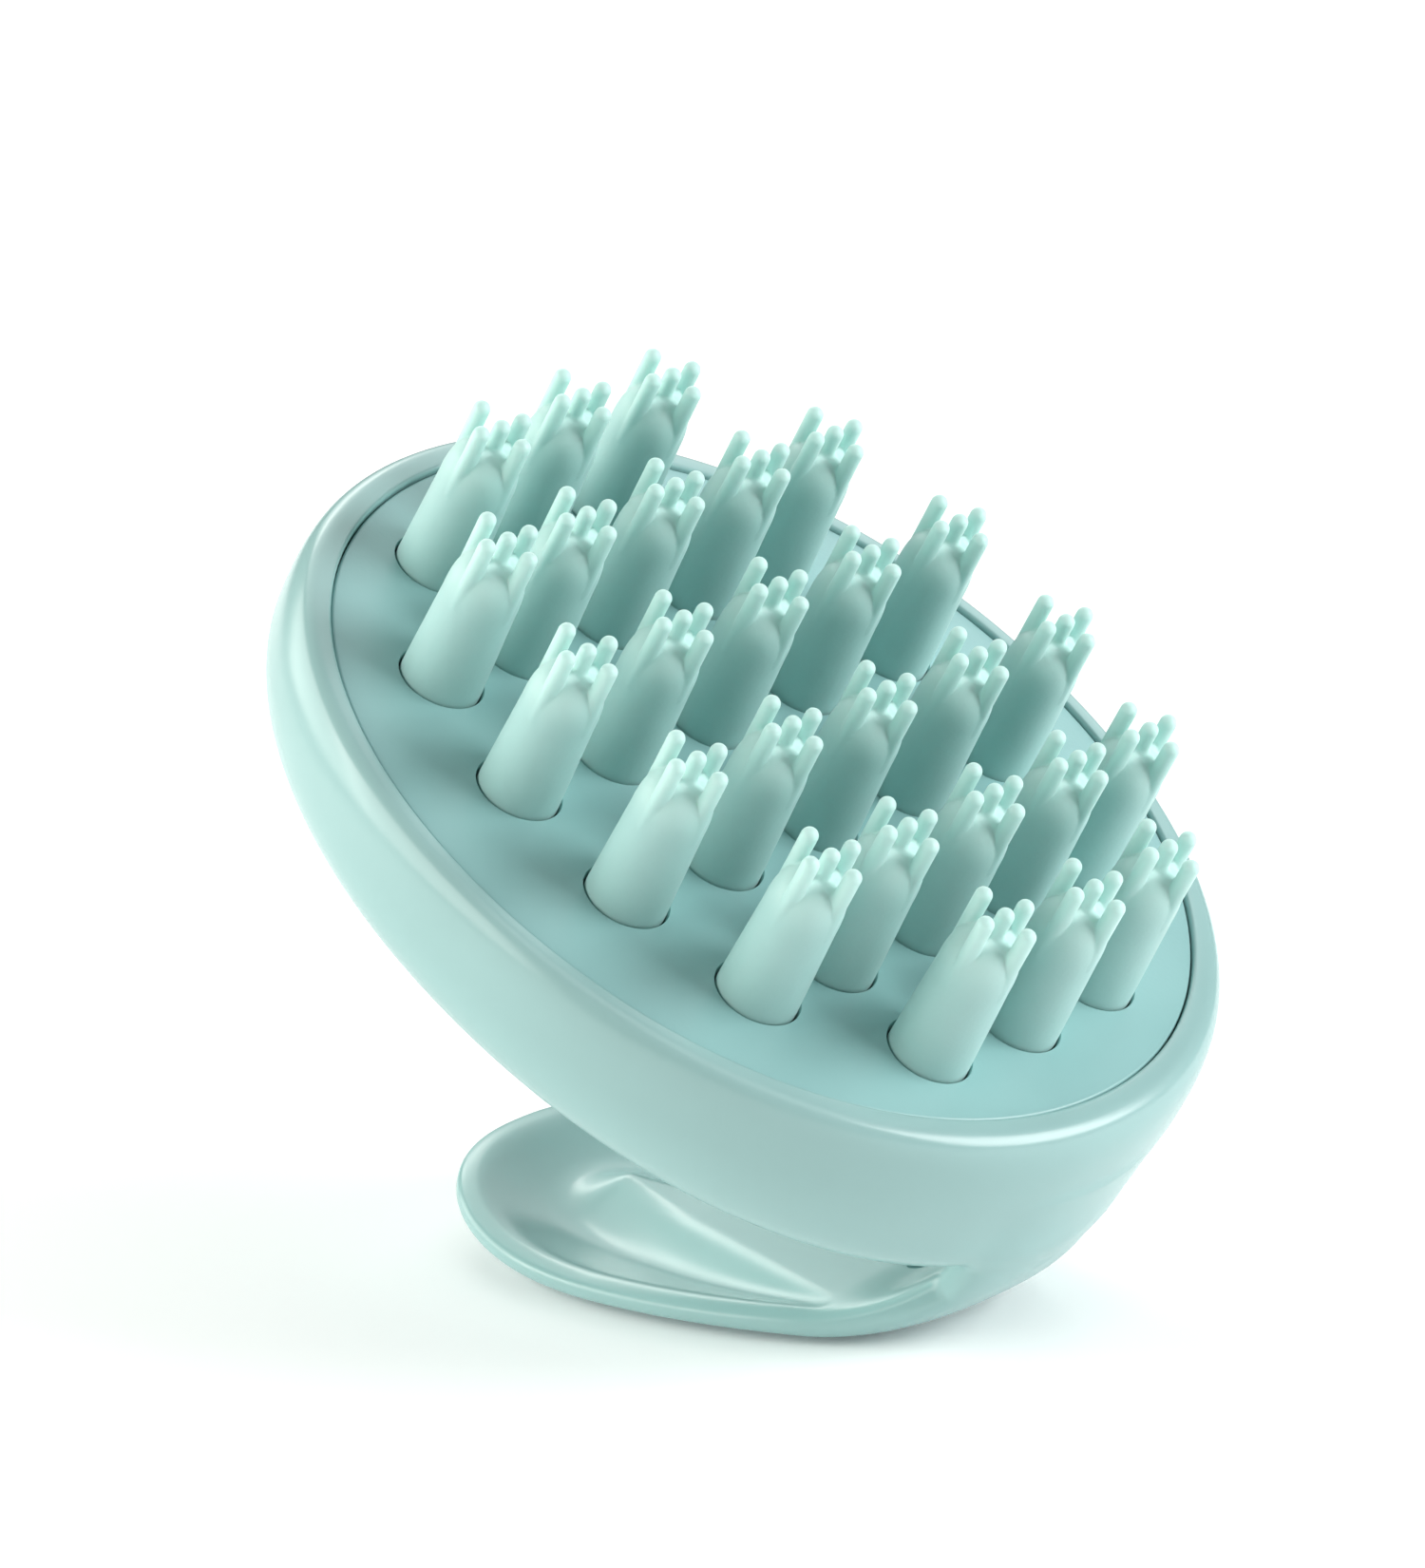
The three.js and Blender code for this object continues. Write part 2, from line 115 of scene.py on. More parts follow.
def head_frame():
    """The head's frame in the row frame: the bristles' pivots lie in its plane z = PIVOT_Z."""
    pivots = [Vector(joint["pos_m"]) for joint in frame["joints"]]
    half = len(pivots) // 2
    middle = sum(pivots, Vector()) / len(pivots)
    x = (sum(pivots[half:], Vector()) - sum(pivots[:half], Vector())).normalized()
    y = Vector((0, 1, 0))
    z = x.cross(y)
    turn = Matrix((x, y, z)).transposed().to_4x4()
    return Matrix.Translation(middle - z * PIVOT_Z * MM) @ turn


HEAD = head_frame()
HEAD_ORIGIN = HEAD.to_translation()
HEAD_HEIGHT = HEAD_ORIGIN.z / MM
HEAD_TILT = math.atan2(HEAD.col[2].x, HEAD.col[2].z)
TABLE_TO_ROW = Matrix.Translation((HEAD_ORIGIN.x, 0, 0)) @ Matrix.Scale(MM, 4)
HEAD_TO_ROW = HEAD @ Matrix.Scale(MM, 4)
HEAD_TO_TABLE = TABLE_TO_ROW.inverted() @ HEAD_TO_ROW


# ---------------------------------------------------------------- mesh helpers

def new_object(name, verts, faces):
    mesh = bpy.data.meshes.new(name)
    mesh.from_pydata([tuple(v) for v in verts], [], faces)
    mesh.update()
    obj = bpy.data.objects.new(name, mesh)
    bpy.context.scene.collection.objects.link(obj)
    return obj


def loft(rings):
    """Vertices and faces through rings of points; a ring of one point closes an end."""
    verts, starts = [], []
    for ring in rings:
        starts.append(len(verts))
        verts.extend(ring)
    faces = []
    for k in range(len(rings) - 1):
        low, high = rings[k], rings[k + 1]
        count = max(len(low), len(high))
        for i in range(count):
            j = (i + 1) % count
            a = starts[k] + (i if len(low) > 1 else 0)
            b = starts[k] + (j if len(low) > 1 else 0)
            c = starts[k + 1] + (j if len(high) > 1 else 0)
            d = starts[k + 1] + (i if len(high) > 1 else 0)
            corners = list(dict.fromkeys((a, b, c, d)))
            faces.append(corners)
    return verts, faces


def apply_modifiers(obj):
    graph = bpy.context.evaluated_depsgraph_get()
    mesh = bpy.data.meshes.new_from_object(obj.evaluated_get(graph))
    obj.modifiers.clear()
    old = obj.data
    obj.data = mesh
    bpy.data.meshes.remove(old)
    return obj


def combine(obj, other, operation):
    """Joins another solid to obj or cuts it away, and removes the other."""
    modifier = obj.modifiers.new("combine", "BOOLEAN")
    modifier.operation = operation
    modifier.solver = "MANIFOLD"
    modifier.object = other
    apply_modifiers(obj)
    bpy.data.objects.remove(other)
    return obj


def voxel_remesh(obj, size):
    modifier = obj.modifiers.new("remesh", "REMESH")
    modifier.mode = "VOXEL"
    modifier.voxel_size = size
    return apply_modifiers(obj)


def positions(mesh):
    co = np.empty(len(mesh.vertices) * 3)
    mesh.vertices.foreach_get("co", co)
    return co.reshape(-1, 3)


def set_positions(mesh, co):
    mesh.vertices.foreach_set("co", co.ravel())
    mesh.update()


def smooth_min(a, b, k):
    """The lesser of two fields, blended where they differ by less than k."""
    h = np.clip(0.5 + 0.5 * (b - a) / k, 0, 1)
    return b * (1 - h) + a * h - k * h * (1 - h)


def finish_piece(obj, body, material, nodes, matrix=None, sharp_degrees=35):
    """Puts a finished piece in the row frame on its body, in place of its CAD nodes."""
    if matrix is not None:
        obj.data.transform(matrix)
    obj.data.shade_smooth()
    obj.data.set_sharp_from_angle(angle=math.radians(sharp_degrees))
    obj.data.materials.clear()
    obj.data.materials.append(material)
    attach(obj, body)
    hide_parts(*nodes)
    return obj


# ---------------------------------------------------------------- shell

def oval(a, b, x, z, count=224):
    """A ring of the head's oval."""
    if a == 0:
        return [(x, 0.0, z)]
    angles = np.linspace(0, 2 * math.pi, count, endpoint=False)
    power = 2 / OVAL_POWER
    c, s = np.cos(angles), np.sin(angles)
    px = x + a * np.sign(c) * np.abs(c) ** power
    py = b * np.sign(s) * np.abs(s) ** power
    return list(zip(px, py, np.full(count, z)))


def bowl_ring(depth_share, shrink, inset=0.0):
    """A ring of the bowl, shrunk from the rim's size, at a share of the bowl's depth."""
    a, b = (RIM_A - inset) * shrink, (RIM_B - inset) * shrink
    x = RIM_SHIFT + BOWL_SHIFT * depth_share ** BOWL_SHIFT_POWER
    return oval(a, b, x, RIM_WIDEST_Z - (BOWL_DEPTH - inset) * depth_share)


def belly(inset=0.0):
    """Rings of the bowl from its deepest point up to the widest level."""
    rings = []
    for shrink in np.linspace(0, BOWL_STEEPENS, 16):
        share = (1 - shrink ** BOWL_FULLNESS) ** (1 / BOWL_SQUARENESS)
        rings.append(bowl_ring(share, shrink, inset))
    steep_share = (1 - BOWL_STEEPENS ** BOWL_FULLNESS) ** (1 / BOWL_SQUARENESS)
    for share in np.linspace(steep_share, 0, 20)[1:]:
        shrink = (1 - share ** BOWL_SQUARENESS) ** (1 / BOWL_FULLNESS)
        rings.append(bowl_ring(share, shrink, inset))
    return rings


def rim_ring(share, z):
    """A ring between the rim's outer edge (share 0) and the plate's seat (share 1)."""
    seat_a, seat_b = PLATE_A + SEAT_GAP, PLATE_B + SEAT_GAP
    return oval(
        RIM_A + (seat_a - RIM_A) * share,
        RIM_B + (seat_b - RIM_B) * share,
        RIM_SHIFT + (PLATE_SHIFT - RIM_SHIFT) * share,
        z,
    )


def bowl_solid():
    """The bowl with its rolled rim and the plate's seat, solid inside."""
    rings = belly()
    power = 2 / ROLL_SQUARENESS
    for angle in np.linspace(0, math.pi / 2, 16)[1:]:
        share = ROLL_SHARE * (1 - math.cos(angle) ** power)
        z = RIM_WIDEST_Z + (RIM_TOP - RIM_WIDEST_Z) * math.sin(angle) ** power
        rings.append(rim_ring(share, z))
    fillet_share = SEAT_FILLET / (RIM_A - PLATE_A - SEAT_GAP)
    for angle in np.linspace(0, math.pi / 2, 6):
        share = 1 - fillet_share * (1 - math.sin(angle))
        rings.append(rim_ring(share, RIM_TOP - SEAT_FILLET * (1 - math.cos(angle))))
    floor = -PLATE_THICK - SEAT_GAP
    rings.append(rim_ring(1, floor))
    rings.append([(PLATE_SHIFT, 0, floor)])
    return new_object("shell", *loft(rings))


def cavity_solid():
    """The hollow inside the bowl, with its mouth through the ledge."""
    top = -PLATE_THICK - SEAT_GAP - LEDGE_THICK
    past_ledge = top + LEDGE_THICK + 1
    rings = belly(WALL)
    rings.append(oval(RIM_A - WALL, RIM_B - WALL, RIM_SHIFT, top))
    rings.append(oval(PLATE_A - LEDGE, PLATE_B - LEDGE, PLATE_SHIFT, top))
    rings.append(oval(PLATE_A - LEDGE, PLATE_B - LEDGE, PLATE_SHIFT, past_ledge))
    rings.append([(PLATE_SHIFT, 0, past_ledge)])
    return new_object("cavity", *loft(rings))


def grip_half_width(x, bend):
    """Half width of the grip where its underside is at x."""
    if x < WIDEST_X:
        share = min(1.0, (WIDEST_X - x) / (WIDEST_X - TIP_X))
        return GRIP_HALF_WIDTH * (1 - share ** TIP_ROUNDNESS) ** (1 / TIP_ROUNDNESS)
    tapered = GRIP_HALF_WIDTH - GRIP_TAPER * (x - WIDEST_X) ** 2
    return max(tapered, ROOT_NARROWEST) + (ROOT_TOP - ROOT_NARROWEST) * bend ** 3


def outline_share(x, y, half_width):
    """0 in the middle of the grip and 1 on its outline."""
    if x >= WIDEST_X:
        return np.abs(y) / half_width
    n = TIP_ROUNDNESS
    ahead = (WIDEST_X - x) / (WIDEST_X - TIP_X)
    return (ahead ** n + (np.abs(y) / GRIP_HALF_WIDTH) ** n) ** (1 / n)


def edge_distance(x, y, half_width):
    """About how far inside the grip's outline a point lies."""
    if x >= WIDEST_X:
        return half_width - np.abs(y)
    n = TIP_ROUNDNESS
    share = np.maximum(outline_share(x, y, half_width), 1e-6)
    length = WIDEST_X - TIP_X
    along = ((WIDEST_X - x) / length / share) ** (n - 1) / length
    across = (np.abs(y) / GRIP_HALF_WIDTH / share) ** (n - 1) / GRIP_HALF_WIDTH
    return np.maximum((1 - share) / np.hypot(along, across), 0)


def hollow(distance, reach):
    """Rises from a rounded crest at 0, steeply first and level at the reach."""
    distance = np.maximum(distance, 0)
    t = np.minimum((np.hypot(distance, CREST_R) - CREST_R) / reach, 1)
    return 1 - (1 - t) ** 2


def dish_depth(x, y, inside):
    """How deep the inner face is hollowed between the lip and the keel."""
    along = min(1.0, max(0.0, (x - KEEL_START_X) / (KEEL_END_X - KEEL_START_X)))
    beside = np.maximum(0, np.abs(y) - KEEL_HALF_WIDTH * along)
    from_keel = np.hypot(max(0.0, KEEL_START_X - x), beside)
    below_lip = hollow(inside - LIP, LIP_SLOPE)
    below_keel = hollow(from_keel, KEEL_SLOPE)
    return DISH_DEPTH * np.maximum(smooth_min(below_lip, below_keel, DISH_BLEND), 0)


def root_bend_x():
    """Where the foot starts to bend, so that the bend ends along the rim's wall."""
    wall_x = RIM_A + RIM_SHIFT - ROOT_SINK
    rise = math.sin(HEAD_TILT) * (ROOT_BEND_R - HEAD_HEIGHT)
    return (wall_x - ROOT_BEND_R + rise) / math.cos(HEAD_TILT)


def grip_line():
    """The underside's line in the mirror plane, as (x, z, slope, bend share)."""
    line = []
    for turn in np.linspace(0, math.pi / 2, 70):
        x = WIDEST_X - (WIDEST_X - TIP_X) * math.cos(turn)
        beyond = max(0.0, TIP_RISE_START - x)
        line.append((x, TIP_RISE * beyond ** 2, -math.atan(2 * TIP_RISE * beyond), 0.0))
    bend_x = root_bend_x()
    for x in np.linspace(WIDEST_X, bend_x, 32)[1:-1]:
        line.append((x, 0.0, 0.0, 0.0))
    wall_slope = math.pi / 2 - HEAD_TILT
    for share in np.linspace(0, 1, 40):
        slope = wall_slope * share
        x = bend_x + ROOT_BEND_R * math.sin(slope)
        line.append((x, ROOT_BEND_R * (1 - math.cos(slope)), slope, share))
    x, z, _, _ = line[-1]
    for climb in (ROOT_CLIMB / 2, ROOT_CLIMB):
        up = (x + climb * math.cos(wall_slope), z + climb * math.sin(wall_slope))
        line.append((*up, wall_slope, 1.0))
    return line


def grip_solid():
    """The spoon and its root: upper and lower faces meet at the rounded outline."""
    rings = []
    across = np.cos(np.linspace(0, math.pi, 81))
    line = grip_line()
    for x, z, slope, bend in line:
        half_width = grip_half_width(x, bend)
        y = half_width * across
        inside = edge_distance(x, y, half_width)
        share = np.clip(outline_share(x, y, max(half_width, 1e-6)), 0, 1)
        edge = (1 - share ** EDGE_SQUARENESS) ** (1 / EDGE_SQUARENESS)
        half = (GRIP_THICK + (ROOT_THICK - GRIP_THICK) * bend) / 2
        wrap = bend ** 3 * RIM_A * (1 - np.sqrt(1 - (y / RIM_B) ** 2))
        upper = half * (1 + edge) - dish_depth(x, y, inside) + wrap
        lower = half * (1 - edge) + wrap
        ring_y = np.concatenate([y, y[-2:0:-1]])
        height = np.concatenate([upper, lower[-2:0:-1]])
        if half_width < 1e-6:
            ring_y, height = np.zeros(1), np.array([half])
        rings.append(list(zip(x - height * math.sin(slope), ring_y, z + height * math.cos(slope))))
    x, z, slope, _ = line[-1]
    middle = ROOT_THICK / 2
    rings.append([(x - middle * math.sin(slope), 0.0, z + middle * math.cos(slope))])
    return new_object("grip", *loft(rings))


def signed_distance(tree, point):
    """Signed distance to a surface, and the direction in which it grows."""
    near, normal, _, distance = tree.find_nearest(point)
    offset = point - near
    side = 1.0 if offset.dot(normal) >= 0 else -1.0
    direction = offset / distance * side if distance > 1e-4 else normal
    return side * distance, direction


def pull_to_fillet(point, bowl_tree, grip_tree):
    """One step towards the surface that joins bowl and grip with a round fillet."""
    to_bowl, bowl_way = signed_distance(bowl_tree, point)
    to_grip, grip_way = signed_distance(grip_tree, point)
    share = min(1.0, max(0.0, 0.5 + 0.5 * (to_grip - to_bowl) / NECK_FILLET))
    value = to_grip * (1 - share) + to_bowl * share - NECK_FILLET * share * (1 - share)
    way = bowl_way * share + grip_way * (1 - share)
    if way.length < 0.2:
        return point
    return point - way.normalized() * value


def neighbours_middle(vert):
    return sum((e.other_vert(vert).co for e in vert.link_edges), Vector()) / len(vert.link_edges)


def fillet_neck(obj, bowl_tree, grip_tree):
    """Rounds the corner between bowl and grip, on a mesh refined there."""
    mesh = bmesh.new()
    mesh.from_mesh(obj.data)

    def in_zone(vert):
        to_bowl = bowl_tree.find_nearest(vert.co, NECK_ZONE)[3]
        to_grip = grip_tree.find_nearest(vert.co, NECK_ZONE)[3]
        return to_bowl is not None and to_grip is not None

    bmesh.ops.remove_doubles(mesh, verts=[v for v in mesh.verts if in_zone(v)], dist=NECK_WELD)
    for _ in range(NECK_SPLITS):
        zone = [v for v in mesh.verts if in_zone(v)]
        bmesh.ops.triangulate(mesh, faces=list({f for v in zone for f in v.link_faces}))
        zone = [v for v in mesh.verts if in_zone(v)]
        edges = list({e for v in zone for e in v.link_edges if e.calc_length() > NECK_EDGE})
        bmesh.ops.subdivide_edges(mesh, edges=edges, cuts=1)
    zone = [v for v in mesh.verts if in_zone(v)]
    bmesh.ops.triangulate(mesh, faces=list({f for v in zone for f in v.link_faces}))
    zone = [v for v in mesh.verts if in_zone(v)]
    for _ in range(NECK_RELAXES):
        middles = [neighbours_middle(v) for v in zone]
        for v, middle in zip(zone, middles):
            v.co = pull_to_fillet(v.co.lerp(middle, 0.5), bowl_tree, grip_tree)
    for _ in range(NECK_PULLS):
        for v in zone:
            v.co = pull_to_fillet(v.co, bowl_tree, grip_tree)
    mesh.to_mesh(obj.data)
    mesh.free()


def hang_hole_cutter():
    """A round hole with softened mouths, square to the grip where the root starts to bend."""
    slope = math.asin((HANG_HOLE_X - root_bend_x()) / ROOT_BEND_R)
    share = slope / (math.pi / 2 - HEAD_TILT)
    thick = GRIP_THICK + (ROOT_THICK - GRIP_THICK) * share
    wide = HANG_HOLE_R + HANG_HOLE_EDGE
    mouth = []
    for a in np.linspace(0, math.pi / 2, 6):
        r = wide - HANG_HOLE_EDGE * math.cos(a)
        mouth.append((r, thick - HANG_HOLE_EDGE * (1 - math.sin(a))))
    profile = [(r, thick - z) for r, z in mouth[::-1]] + mouth
    profile = [(wide + 0.1, -1.0)] + profile + [(wide + 0.1, thick + 1)]
    rings = [[(0, 0, -1.0)]]
    rings += [circle(r, 0, 0, z) for r, z in profile]
    rings += [[(0, 0, thick + 1)]]
    cutter = new_object("hang_hole", *loft(rings))
    foot = (HANG_HOLE_X, 0, ROOT_BEND_R * (1 - math.cos(slope)))
    cutter.data.transform(Matrix.Translation(foot) @ Matrix.Rotation(-slope, 4, "Y"))
    return cutter


def outward(obj):
    mesh = bmesh.new()
    mesh.from_mesh(obj.data)
    bmesh.ops.recalc_face_normals(mesh, faces=mesh.faces)
    mesh.to_mesh(obj.data)
    mesh.free()
    return obj


def tree_of(obj):
    mesh = bmesh.new()
    mesh.from_mesh(obj.data)
    tree = BVHTree.FromBMesh(mesh)
    mesh.free()
    return tree


def build_shell(material):
    bowl = outward(bowl_solid())
    bowl.data.transform(HEAD_TO_TABLE)
    grip = combine(outward(grip_solid()), outward(hang_hole_cutter()), "DIFFERENCE")
    bowl_tree, grip_tree = tree_of(bowl), tree_of(grip)
    combine(bowl, grip, "UNION")
    fillet_neck(bowl, bowl_tree, grip_tree)
    cavity = outward(cavity_solid())
    cavity.data.transform(HEAD_TO_TABLE)
    combine(bowl, cavity, "DIFFERENCE")
    return finish_piece(bowl, "brush", material, ["shell_with_handle"], TABLE_TO_ROW)


# ---------------------------------------------------------------- face plate

def bristle_places():
    """Each bristle body's name, with its place on the face in the head's frame."""
    to_head = HEAD_TO_ROW.inverted()
    return [(joint["child"], to_head @ Vector(joint["pos_m"])) for joint in frame["joints"]]


def circle(r, x, y, z, count=48):
    angles = np.linspace(0, 2 * math.pi, count, endpoint=False)
    return [(x + r * math.cos(a), y + r * math.sin(a), z) for a in angles]


def add_ring(mesh, points):
    return [mesh.verts.new(p) for p in points]


def bridge(mesh, low, high):
    for i in range(len(low)):
        j = (i + 1) % len(low)
        mesh.faces.new((low[i], low[j], high[j], high[i]))


def loop_edges(mesh, ring):
    return [mesh.edges.get((ring[i], ring[(i + 1) % len(ring)])) for i in range(len(ring))]


def hole_profile():
    """Radius and level up the wall of a bristle's hole."""
    r = BRISTLE_R + HOLE_GAP
    flared = r + HOLE_FLARE
    return [(r, -PLATE_THICK), (r, PIVOT_Z), (flared, -HOLE_EDGE), (flared + HOLE_EDGE, 0.0)]


def build_face_plate(material):
    """The flat oval plate with rounded edges and a hole round each bristle."""
    mesh = bmesh.new()
    bevel = np.linspace(0, math.pi / 2, 5)
    outer = [add_ring(mesh, oval(PLATE_A, PLATE_B, PLATE_SHIFT, -PLATE_THICK))]
    for angle in bevel:
        inset = PLATE_EDGE * (1 - math.cos(angle))
        z = -PLATE_EDGE * (1 - math.sin(angle))
        outer.append(add_ring(mesh, oval(PLATE_A - inset, PLATE_B - inset, PLATE_SHIFT, z)))
    for low, high in zip(outer, outer[1:]):
        bridge(mesh, low, high)
    tops, bottoms = [outer[-1]], [outer[0]]
    for _, place in bristle_places():
        rings = [add_ring(mesh, circle(r, place.x, place.y, z)) for r, z in hole_profile()]
        for low, high in zip(rings, rings[1:]):
            bridge(mesh, high, low)
        tops.append(rings[-1])
        bottoms.append(rings[0])
    for loops in (tops, bottoms):
        edges = [edge for ring in loops for edge in loop_edges(mesh, ring)]
        bmesh.ops.triangle_fill(mesh, use_beauty=True, edges=edges)
    bmesh.ops.recalc_face_normals(mesh, faces=mesh.faces)
    data = bpy.data.meshes.new("face_plate")
    mesh.to_mesh(data)
    mesh.free()
    obj = bpy.data.objects.new("face_plate_molded", data)
    bpy.context.scene.collection.objects.link(obj)
    return finish_piece(obj, "brush", material, ["face_plate"], HEAD_TO_ROW)


# ---------------------------------------------------------------- bristles

def rod(p, start, end, r):
    """Distance to a rod with round ends."""
    start, end = np.array(start, float), np.array(end, float)
    axis = end - start
    t = np.clip((p - start) @ axis / (axis @ axis), 0, 1)
    return np.linalg.norm(p - start - t[:, None] * axis, axis=1) - r


def bristle_field(p):
    """Below 0 inside the bristle: a trunk with a rounded top, four prongs round it and one in the middle."""
    r = np.hypot(p[:, 0], p[:, 1])
    z = p[:, 2]
    wall = BRISTLE_R + (BRISTLE_TOP_R - BRISTLE_R) * np.clip(z / DOME_START_Z, 0, 1)
    wall -= (BRISTLE_R - ROOT_R) * np.clip((ROOT_START_Z - z) / (ROOT_START_Z - ROOT_END_Z), 0, 1)
    above = np.maximum(z - DOME_START_Z, 0) / (DOME_TOP_Z - DOME_START_Z)
    n = DOME_SQUARENESS
    body = (((r / wall) ** n + above ** n) ** (1 / n) - 1) * wall
    quarter = np.abs(p) * (1, 1, 0) + p * (0, 0, 1)
    for spot in (quarter, quarter[:, [1, 0, 2]]):
        prong = rod(spot, (PRONG_RADIUS, 0, PRONG_FOOT_Z), (PRONG_RADIUS, 0, PRONG_TIP_Z), PRONG_R)
        web = rod(spot, (0, 0, WEB_Z), (PRONG_RADIUS, 0, WEB_Z), WEB_R)
        body = smooth_min(smooth_min(body, web, WEB_FILLET), prong, PRONG_FILLET)
    middle = rod(p, (0, 0, MIDDLE_PRONG_FOOT_Z), (0, 0, PRONG_TIP_Z), PRONG_R)
    return np.maximum(smooth_min(body, middle, MIDDLE_PRONG_FILLET), FOOT_Z - z)


def gradient(field, p, step=1e-3):
    parts = []
    for axis in range(3):
        shift = np.zeros(3)
        shift[axis] = step
        parts.append((field(p + shift) - field(p - shift)) / (2 * step))
    return np.stack(parts, 1)


def onto_surface(field, p, steps=8):
    """Moves points onto the surface where the field is 0."""
    for _ in range(steps):
        slope = gradient(field, p)
        size = np.maximum((slope ** 2).sum(1), 0.05)
        move = slope * (field(p) / size)[:, None]
        p = p - np.clip(move, -0.3, 0.3)
    return p


def blank_trunk():
    """A coarse trunk, whose points are later moved onto the bristle's surface."""
    profile = (
        (ROOT_R, FOOT_Z),
        (ROOT_R, ROOT_END_Z),
        (BRISTLE_R, ROOT_START_Z),
        (BRISTLE_TOP_R, 9.0),
        (BRISTLE_TOP_R - 0.2, 12.0),
        (BRISTLE_TOP_R - 1.0, 13.1),
    )
    rings = [circle(r, 0, 0, z) for r, z in profile]
    rings = [[(0, 0, profile[0][1])]] + rings + [[(0, 0, profile[-1][1])]]
    return outward(new_object("bristle_blank", *loft(rings)))


def blank_prong(x, y):
    foot, tip, sides = MIDDLE_PRONG_FOOT_Z, PRONG_TIP_Z, 12
    rings = [[(x, y, foot)], circle(PRONG_R, x, y, foot, sides), circle(PRONG_R, x, y, tip, sides)]
    rings += [circle(0.5, x, y, tip + 0.5, sides), [(x, y, tip + PRONG_R)]]
    return outward(new_object("prong_blank", *loft(rings)))


def bristle_mesh():
    """One bristle's mesh about its place on the face, in metres."""
    bristle = blank_trunk()
    for x, y in ((0, 0), (1, 0), (0, 1), (-1, 0), (0, -1)):
        combine(bristle, blank_prong(x * PRONG_RADIUS, y * PRONG_RADIUS), "UNION")
    voxel_remesh(bristle, BRISTLE_VOXEL)
    set_positions(bristle.data, onto_surface(bristle_field, positions(bristle.data)))
    decimate = bristle.modifiers.new("decimate", "DECIMATE")
    decimate.ratio = BRISTLE_KEPT_FACES
    apply_modifiers(bristle)
    set_positions(bristle.data, onto_surface(bristle_field, positions(bristle.data)))
    mesh = bristle.data
    mesh.name = "bristle"
    mesh.shade_smooth()
    mesh.normals_split_custom_set_from_vertices(gradient(bristle_field, positions(mesh)))
    mesh.transform(Matrix.Scale(MM, 4))
    bpy.data.objects.remove(bristle)
    return mesh


def build_bristles(material):
    mesh = bristle_mesh()
    mesh.materials.clear()
    mesh.materials.append(material)
    for body, place in bristle_places():
        node = body.removesuffix("_body")
        obj = bpy.data.objects.new(node + "_silicone", mesh)
        bpy.context.scene.collection.objects.link(obj)
        obj.matrix_world = HEAD @ Matrix.Translation((place.x * MM, place.y * MM, 0))
        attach(obj, body)
        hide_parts(node)


# ---------------------------------------------------------------- materials

NOISE_RANGE = (0.3, 0.7)    # where nearly all of a noise texture's values lie


def new_material(name, color, roughness, **values):
    material = bpy.data.materials.new(name)
    material.use_nodes = True
    shader = material.node_tree.nodes["Principled BSDF"]
    shader.inputs["Base Color"].default_value = (*color, 1)
    shader.inputs["Roughness"].default_value = roughness
    for key, value in values.items():
        shader.inputs[key.replace("_", " ")].default_value = value
    return material, shader


def add_spread(tree, value, source, target):
    """Maps a value from one range to another."""
    spread = tree.nodes.new("ShaderNodeMapRange")
    spread.inputs["From Min"].default_value, spread.inputs["From Max"].default_value = source
    spread.inputs["To Min"].default_value, spread.inputs["To Max"].default_value = target
    tree.links.new(value, spread.inputs["Value"])
    return spread


def add_noise(material, scale, detail, low, high):
    """A noise texture in metres whose output is spread between two values."""
    tree = material.node_tree
    place = tree.nodes.new("ShaderNodeTexCoord")
    noise = tree.nodes.new("ShaderNodeTexNoise")
    noise.inputs["Scale"].default_value = scale
    noise.inputs["Detail"].default_value = detail
    tree.links.new(place.outputs["Object"], noise.inputs["Vector"])
    return add_spread(tree, noise.outputs["Fac"], NOISE_RANGE, (low, high)).outputs["Result"]


def add_height(material, low, high):
    """A value that grows from 0 to 1 between two heights of the piece, in millimetres."""
    tree = material.node_tree
    place = tree.nodes.new("ShaderNodeTexCoord")
    split = tree.nodes.new("ShaderNodeSeparateXYZ")
    tree.links.new(place.outputs["Object"], split.inputs["Vector"])
    spread = add_spread(tree, split.outputs["Z"], (low * MM, high * MM), (0, 1))
    spread.interpolation_type = "SMOOTHSTEP"
    return spread.outputs["Result"]


def add_bump(material, shader, height, distance, strength):
    tree = material.node_tree
    bump = tree.nodes.new("ShaderNodeBump")
    bump.inputs["Distance"].default_value = distance
    bump.inputs["Strength"].default_value = strength
    tree.links.new(height, bump.inputs["Height"])
    tree.links.new(bump.outputs["Normal"], shader.inputs["Normal"])


def add_tint(material, shader, color, other, share):
    """Colour mixed between two tones by a share: random tone on the shell and plate, and painted light along
    the bristles' height.
    """
    tree = material.node_tree
    mix = tree.nodes.new("ShaderNodeMix")
    mix.data_type = "RGBA"
    mix.inputs["A"].default_value = (*color, 1)
    mix.inputs["B"].default_value = (*other, 1)
    tree.links.new(share, mix.inputs["Factor"])
    tree.links.new(mix.outputs["Result"], shader.inputs["Base Color"])


def shaded(color, factor):
    return tuple(min(1.0, c * factor) for c in color)


def shell_material():
    color = (0.31, 0.50, 0.49)
    material, shader = new_material("glossy_shell", color, 0.2)
    tree = material.node_tree
    tree.links.new(add_noise(material, 90, 3, 0.20, 0.265), shader.inputs["Roughness"])
    add_tint(material, shader, shaded(color, 0.97), shaded(color, 1.03), add_noise(material, 40, 2, 0, 1))
    add_bump(material, shader, add_noise(material, 350, 2, 0, 1), 0.00002, 0.12)
    return material


